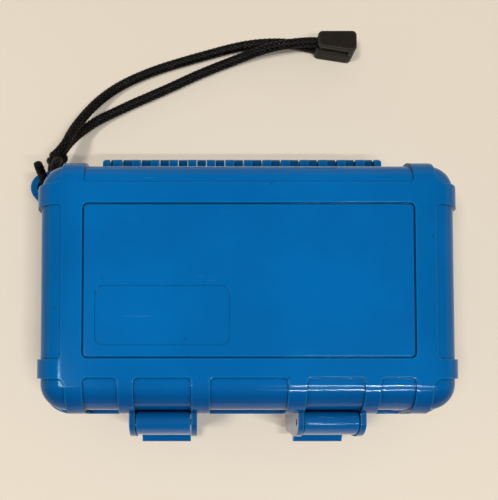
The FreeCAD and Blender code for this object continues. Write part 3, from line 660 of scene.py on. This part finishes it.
def evaluated(curve_object):
    """The curve as a mesh; the curve itself is removed."""
    bpy.context.scene.collection.objects.link(curve_object)
    bpy.context.view_layer.update()
    graph = bpy.context.evaluated_depsgraph_get()
    mesh = bpy.data.meshes.new_from_object(curve_object.evaluated_get(graph))
    curve = curve_object.data
    bpy.data.objects.remove(curve_object)
    bpy.data.curves.remove(curve)
    return mesh


def braided_tube(name, route, length, radius, material):
    """Tube along the route's spline with the braid raised on it, and the line that it follows."""
    steps = math.ceil(length / RING_STEP / (len(route) - 2))
    line = [vertex.co.copy() for vertex in evaluated(route_curve(name, route, steps)).vertices]
    mesh = evaluated(route_curve(name, route, steps, radius - BRAID_DEPTH))
    sides = len(mesh.vertices) // len(line)
    along = 0.0
    relief = mesh.attributes.new("relief", "FLOAT", "POINT")
    for ring, centre in enumerate(line):
        along += (centre - line[ring - 1]).length if ring else 0.0
        row = math.pi * along / BRAID_ROW
        for side in range(sides):
            index = ring * sides + side
            yarn = BRAID_YARNS * math.tau * side / sides
            rise = 0.5 + 0.5 * math.cos(yarn) * math.cos(row)
            vertex = mesh.vertices[index]
            vertex.co += (vertex.co - centre).normalized() * BRAID_DEPTH * rise
            relief.data[index].value = rise
    piece = link(name, mesh, material)
    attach(piece, "base")
    return piece, line


def cord(name, node, route, length, radius, material):
    """A free stretch of the cord in place of its CAD node."""
    piece, line = braided_tube(name, route, length, radius, material)
    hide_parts(node)


def knot(material):
    """Tight turns of the cord round both strands."""
    low, high = (Vector(corner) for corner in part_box("lanyard_knot"))
    centre = (low + high) / 2
    turn = math.radians(KNOT_TURN)
    axis = Vector((math.sin(turn), math.cos(turn), 0.0))
    side = Vector((axis.y, -axis.x, 0.0)) * KNOT_SIDE
    rise = Vector((0.0, 0.0, KNOT_RISE))
    steps = KNOT_TURNS * KNOT_POINTS
    route = []
    for step in range(steps + 1):
        angle = math.tau * step / KNOT_POINTS
        travel = axis * (step / steps - 0.5) * KNOT_TRAVEL
        route.append(centre + travel + side * math.cos(angle) + rise * math.sin(angle))
    piece, _ = braided_tube("lanyard_knot_turns", route, KNOT_CORD_LENGTH, KNOT_CORD_RADIUS, material)
    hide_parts("lanyard_knot")
    return piece


def round_edges(shape, edges, radius, facets):
    bmesh.ops.bevel(
        shape, geom=edges, offset=radius, segments=facets, profile=0.5, affect="EDGES", material=-1)


def rounded_block(shape, low, high, corner):
    """Adds a block whose four uprights are rounded."""
    size = high - low
    place = Matrix.Translation((low + high) / 2) @ Matrix.Diagonal((*size, 1.0))
    corners = set(bmesh.ops.create_cube(shape, size=1.0, matrix=place)["verts"])
    edges = [edge for edge in shape.edges if corners.issuperset(edge.verts)]
    uprights = [edge for edge in edges if abs(edge.verts[0].co.z - edge.verts[1].co.z) > size.z / 2]
    round_edges(shape, uprights, corner, CORNER_FACETS)


def open_top(shape):
    """Takes out the highest face and gives the edges round the opening."""
    top = max(shape.faces, key=lambda face: face.calc_center_median().z)
    edges = list(top.edges)
    bmesh.ops.delete(shape, geom=[top], context="FACES_ONLY")
    return edges


def foam(name, node, body, material, with_well):
    """Foam block, rounded where it meets the shell, with a straight-walled well where asked for."""
    low, high = (Vector(corner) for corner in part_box(node))
    far_z = low.z if with_well else high.z
    shape = bmesh.new()
    rounded_block(shape, low, high, FOAM_CORNER)
    far_edges = [
        edge for edge in shape.edges
        if all(abs(vertex.co.z - far_z) < SAME_HEIGHT for vertex in edge.verts)]
    round_edges(shape, far_edges, FOAM_FAR_EDGE, FAR_EDGE_FACETS)
    if with_well:
        rim = open_top(shape)
        well_low = Vector((-WELL_HALF[0], -WELL_HALF[1], WELL_FLOOR))
        rounded_block(shape, well_low, Vector((*WELL_HALF, high.z)), WELL_CORNER)
        bmesh.ops.triangle_fill(shape, edges=rim + open_top(shape), use_beauty=True)
    bmesh.ops.recalc_face_normals(shape, faces=shape.faces)
    piece = link(name, mesh_of(name, shape), material)
    bevel = piece.modifiers.new("cut edges", "BEVEL")
    bevel.width, bevel.segments, bevel.limit_method = FOAM_CUT_EDGE, CUT_EDGE_FACETS, "ANGLE"
    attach(piece, body)
    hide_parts(node)


def room_light():
    """Soft light from the room's sides and back, less from the front, and a dim ceiling."""
    world = bpy.data.worlds.new("room light")
    world.use_nodes = True
    room = Nodes(world.node_tree)
    background = world.node_tree.nodes["Background"]
    _, depth, height = room.axes()
    glow = ROOM_STRENGTH - height.ramp(*CEILING_RANGE) * CEILING_LOSS
    glow = glow + height.ramp(*ZENITH_RANGE) * ZENITH_GAIN
    glow = glow * depth.ramp(*ROOM_FRONT_RANGE, 1.0, ROOM_FRONT_SHARE)
    seen = room.node("ShaderNodeLightPath", output="Is Camera Ray")
    room.feed(background.inputs["Color"], room.mix(seen, ROOM_COLOUR, BACKDROP))
    room.feed(background.inputs["Strength"], glow * (1.0 - seen) + seen)
    bpy.context.scene.world = world


def table():
    shape = bmesh.new()
    bmesh.ops.create_grid(shape, x_segments=TABLE_SQUARES, y_segments=TABLE_SQUARES, size=TABLE_REACH)
    link("table", mesh_of("table", shape), pale_table("pale_table"))


def area_light(name, place, target, size, power, colour=(1.0, 1.0, 1.0)):
    """A rectangular lamp that faces its target."""
    light = bpy.data.lights.new(name, "AREA")
    light.shape = "RECTANGLE"
    light.size, light.size_y = size
    light.energy = power
    light.color = colour
    lamp = bpy.data.objects.new(name, light)
    lamp.location = place
    lamp.rotation_euler = (Vector(target) - Vector(place)).to_track_quat("-Z", "Y").to_euler()
    bpy.context.scene.collection.objects.link(lamp)


def lamps():
    area_light(
        "left lamp", LEFT_LAMP_PLACE, (0.0, 0.0, 0.0), LEFT_LAMP_SIZE, LEFT_LAMP_POWER, LEFT_LAMP_COLOUR)
    x, y, z = STRIP_MIDDLE
    for strip_y in (y - STRIP_OFFSET, y + STRIP_OFFSET):
        area_light("strip", (x, strip_y, z), (x, strip_y, 0.0), STRIP_SIZE, STRIP_POWER)


def photograph_camera():
    camera = bpy.data.cameras.new("camera")
    camera.lens = CAMERA_LENS
    camera.shift_x, camera.shift_y = CAMERA_SHIFT
    camera.clip_start, camera.clip_end = CAMERA_CLIP
    viewer = bpy.data.objects.new("camera", camera)
    viewer.location = CAMERA_PLACE
    viewer.rotation_euler = (math.radians(CAMERA_TILT), 0.0, 0.0)
    bpy.context.scene.collection.objects.link(viewer)
    bpy.context.scene.camera = viewer


bpy.context.scene.view_settings.view_transform = "Standard"
room_light()
table()
lamps()
photograph_camera()

blue_shell = blue_moulding("blue_shell", SHELL_FACE, SHELL_DEEP, SHELL_MATT, SHELL_FRONT_SHADE_SHARE)
blue_latch = blue_moulding("blue_latch", LATCH_FACE, LATCH_DEEP, LATCH_MATT, LATCH_FRONT_SHADE_SHARE)
dress(blue_shell, "base_shell", "lid_shell")
dress(blue_latch, "latch_left", "latch_right")
dress(satin_black("black_cord_end"), "cord_end_lower", "cord_end_upper")
dress(seal_rubber("seal_rubber"), "lid_seal")
dress(ground_steel("ground_steel"), "hinge_pin", "latch_pin_left", "latch_pin_right")

black = braided_black("braided_cord")
turns = knot(black)
cord("cord_strand_upper", "lanyard_strand_upper", UPPER_ROUTE, UPPER_LENGTH, CORD_RADIUS,
     black)
cord("cord_strand_lower", "lanyard_strand_lower", LOWER_ROUTE, LOWER_LENGTH, CORD_RADIUS,
     black)
cord("cord_loop", "lanyard_loop", LOOP_ROUTE, LOOP_LENGTH, CORD_RADIUS, black)
cord("cord_tail", "lanyard_tail", TAIL_ROUTE, TAIL_LENGTH, TAIL_RADIUS, black)

grey_foam = foam_cells("foam_cells")
foam("foam_base", "base_foam", "base", grey_foam, True)
foam("foam_lid", "lid_foam", "lid", grey_foam, False)
